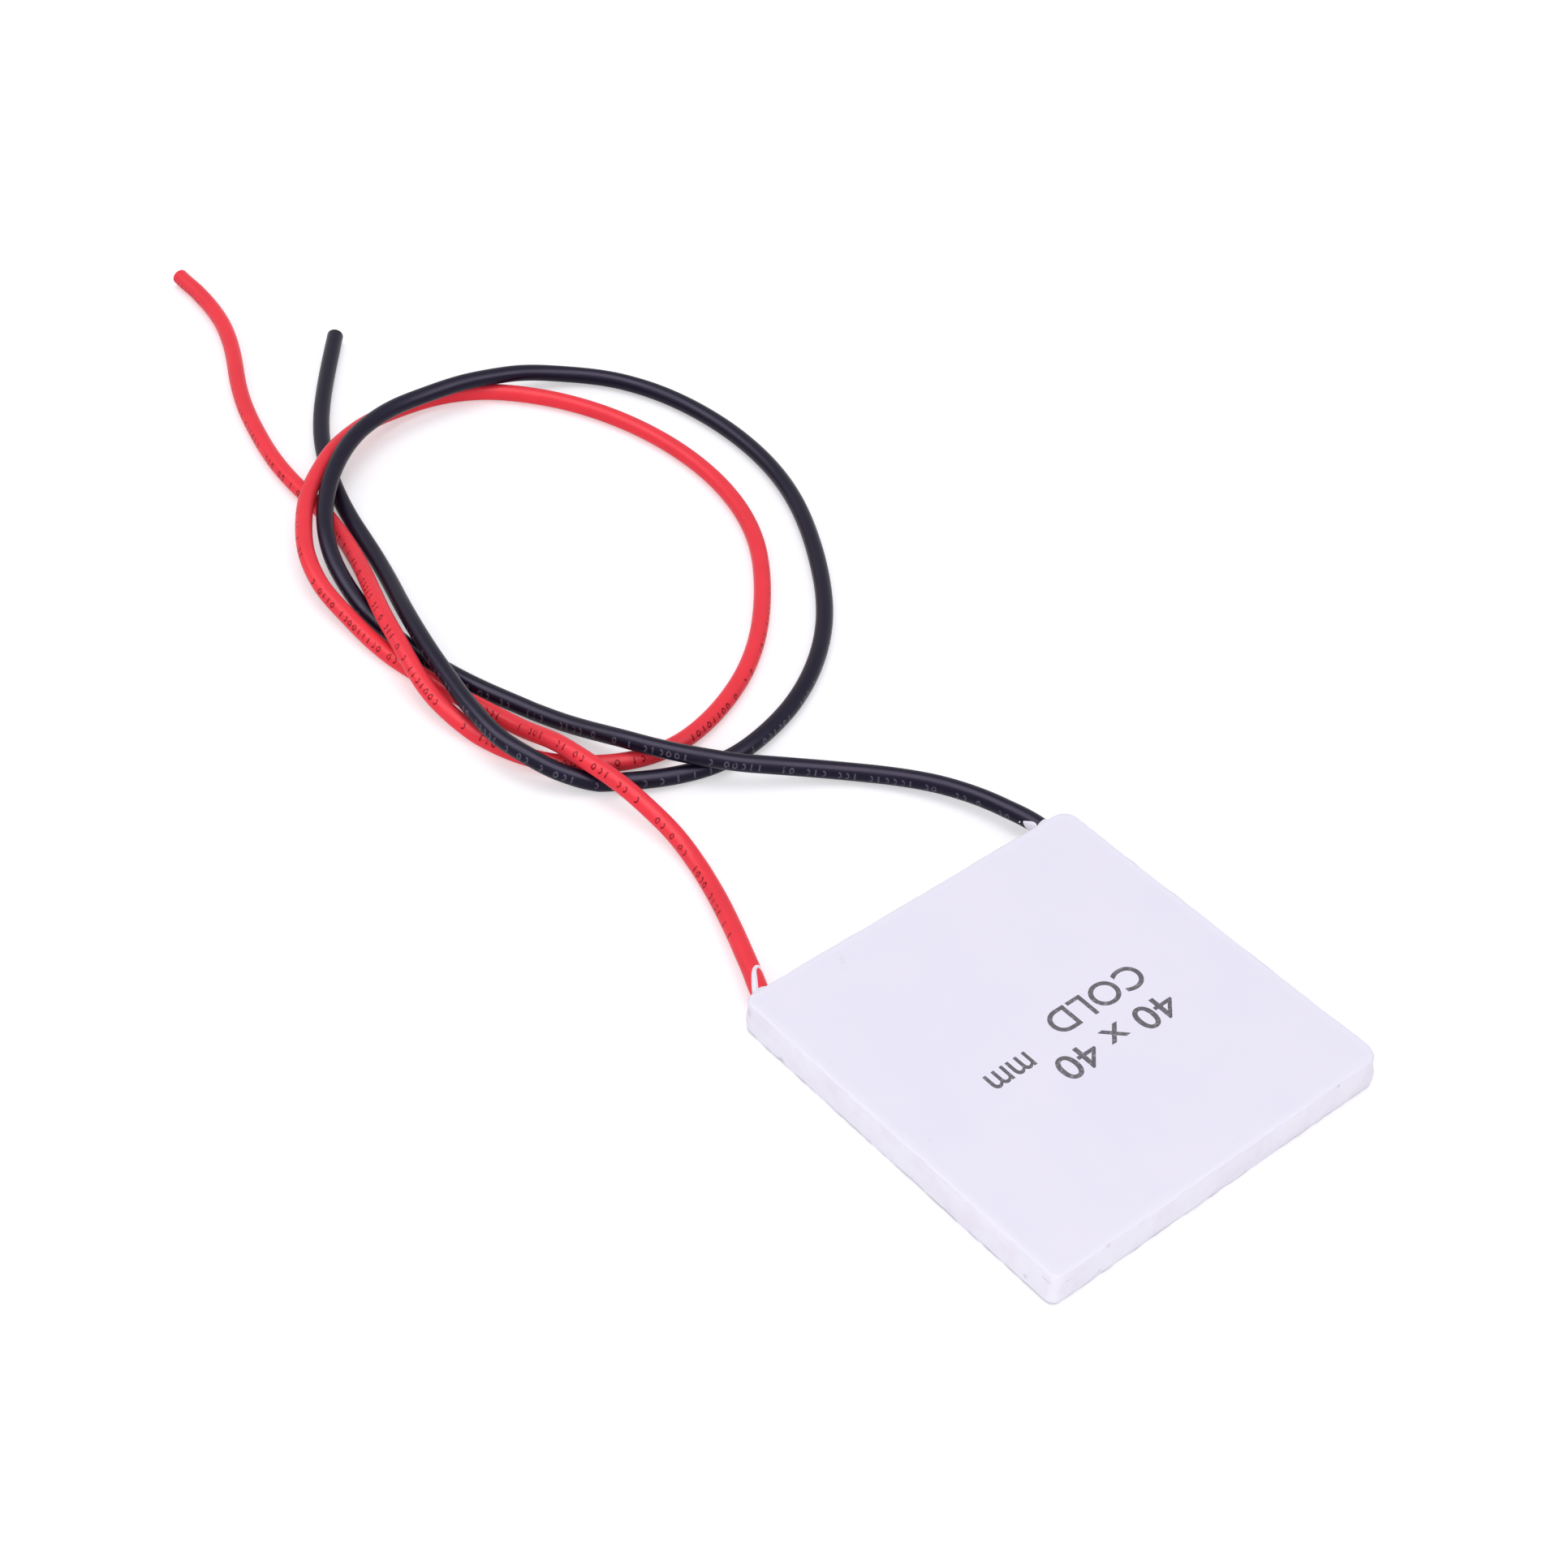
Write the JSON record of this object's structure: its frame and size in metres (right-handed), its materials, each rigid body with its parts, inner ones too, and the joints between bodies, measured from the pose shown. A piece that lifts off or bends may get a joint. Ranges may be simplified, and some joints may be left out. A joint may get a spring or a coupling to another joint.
{
  "type": "thermoelectric generator module",
  "caption": "Flat square ceramic thermoelectric generator with semiconductor couples between two plates, a sealed white edge and two loose insulated leads.",
  "frame": {"origin": "centre of the hot face, the unmarked plate's outer face, on which the module lies", "axes": "+Z from the hot face to the marked cold face; the leads leave the -Y edge, red at +X and black at -X"},
  "size_m": [0.0562, 0.1699, 0.0046],
  "materials": {
    "alumina": "matte white fired alumina",
    "copper": "bare copper",
    "p_telluride": "sawn, dull metallic grey",
    "n_telluride": "sawn, dull metallic grey",
    "solder": "satin solder",
    "tinned_strand": "tinned copper strand",
    "sealant": "matte white silicone",
    "black_insulation": "satin black insulation",
    "red_insulation": "satin red insulation"
  },
  "bodies": {
    "root": {"hot_plate": "alumina", "cold_plate": "alumina", "hot_tabs": "copper", "cold_tabs": "copper", "negative_terminal": "copper", "positive_terminal": "copper", "p_legs": "p_telluride", "n_legs": "n_telluride", "hot_solder": "solder", "cold_solder": "solder", "negative_core": "tinned_strand", "positive_core": "tinned_strand", "negative_joint": "solder", "positive_joint": "solder", "edge_seal": "sealant", "negative_lead": "black_insulation", "positive_lead": "red_insulation"}
  },
  "joints": []
}
